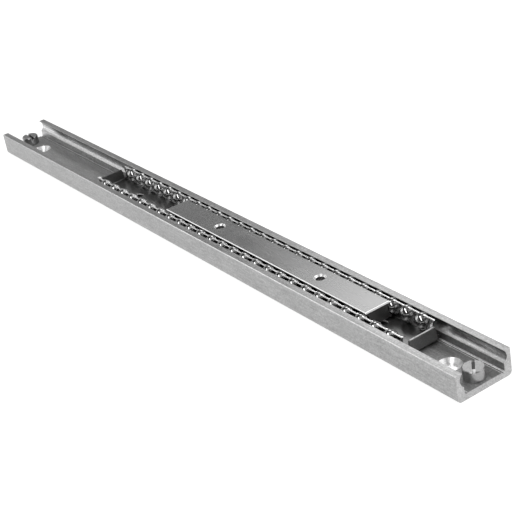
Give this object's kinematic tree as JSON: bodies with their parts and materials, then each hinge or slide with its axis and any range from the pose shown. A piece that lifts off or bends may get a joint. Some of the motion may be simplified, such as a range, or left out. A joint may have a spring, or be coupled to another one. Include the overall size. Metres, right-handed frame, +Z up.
{
  "type": "square rail linear guide",
  "caption": "Low square steel rail whose inner ball races carry a drilled slider on a pressed cage of steel balls, with a stop screw at each end.",
  "frame": {"origin": "centre of the rail's underside, half way along the rail", "axes": "+X along the rail towards the end that the slider stands nearer to, +Y across the rail, +Z up, out of the rail's open side"},
  "size_m": [0.4, 0.028, 0.0129],
  "materials": {
    "rail_steel": "drawn steel with a satin zinc finish",
    "slider_steel": "ground steel",
    "cage_steel": "bright pressed sheet steel",
    "ball_steel": "polished bearing steel",
    "screw_steel": "turned steel"
  },
  "bodies": {
    "rail_body": {"rail": "rail_steel", "stop_screw_near": "screw_steel", "stop_screw_far": "screw_steel"},
    "slider_body": {"slider": "slider_steel"},
    "cage_body": {"ball_cage": "cage_steel", "ball_front_01": "ball_steel", "ball_front_02": "ball_steel", "ball_front_03": "ball_steel", "ball_front_04": "ball_steel", "ball_front_05": "ball_steel", "ball_front_06": "ball_steel", "ball_front_07": "ball_steel", "ball_front_08": "ball_steel", "ball_front_09": "ball_steel", "ball_front_10": "ball_steel", "ball_front_11": "ball_steel", "ball_front_12": "ball_steel", "ball_front_13": "ball_steel", "ball_front_14": "ball_steel", "ball_front_15": "ball_steel", "ball_front_16": "ball_steel", "ball_front_17": "ball_steel", "ball_front_18": "ball_steel", "ball_front_19": "ball_steel", "ball_front_20": "ball_steel", "ball_front_21": "ball_steel", "ball_front_22": "ball_steel", "ball_front_23": "ball_steel", "ball_front_24": "ball_steel", "ball_front_25": "ball_steel", "ball_front_26": "ball_steel", "ball_back_01": "ball_steel", "ball_back_02": "ball_steel", "ball_back_03": "ball_steel", "ball_back_04": "ball_steel", "ball_back_05": "ball_steel", "ball_back_06": "ball_steel", "ball_back_07": "ball_steel", "ball_back_08": "ball_steel", "ball_back_09": "ball_steel", "ball_back_10": "ball_steel", "ball_back_11": "ball_steel", "ball_back_12": "ball_steel", "ball_back_13": "ball_steel", "ball_back_14": "ball_steel", "ball_back_15": "ball_steel", "ball_back_16": "ball_steel", "ball_back_17": "ball_steel", "ball_back_18": "ball_steel", "ball_back_19": "ball_steel", "ball_back_20": "ball_steel", "ball_back_21": "ball_steel", "ball_back_22": "ball_steel", "ball_back_23": "ball_steel", "ball_back_24": "ball_steel", "ball_back_25": "ball_steel", "ball_back_26": "ball_steel"}
  },
  "joints": [
    {"name": "slider_travel", "type": "slide", "parent": "rail_body", "child": "slider_body", "axis": [1, 0, 0], "range_m": [-0.1378, 0.0488]},
    {"name": "cage_travel", "type": "slide", "parent": "rail_body", "child": "cage_body", "axis": [1, 0, 0], "range_m": [-0.0689, 0.0244]}
  ],
  "couplings": [
    {"joint": "cage_travel", "follows": "slider_travel", "ratio": 0.5}
  ]
}
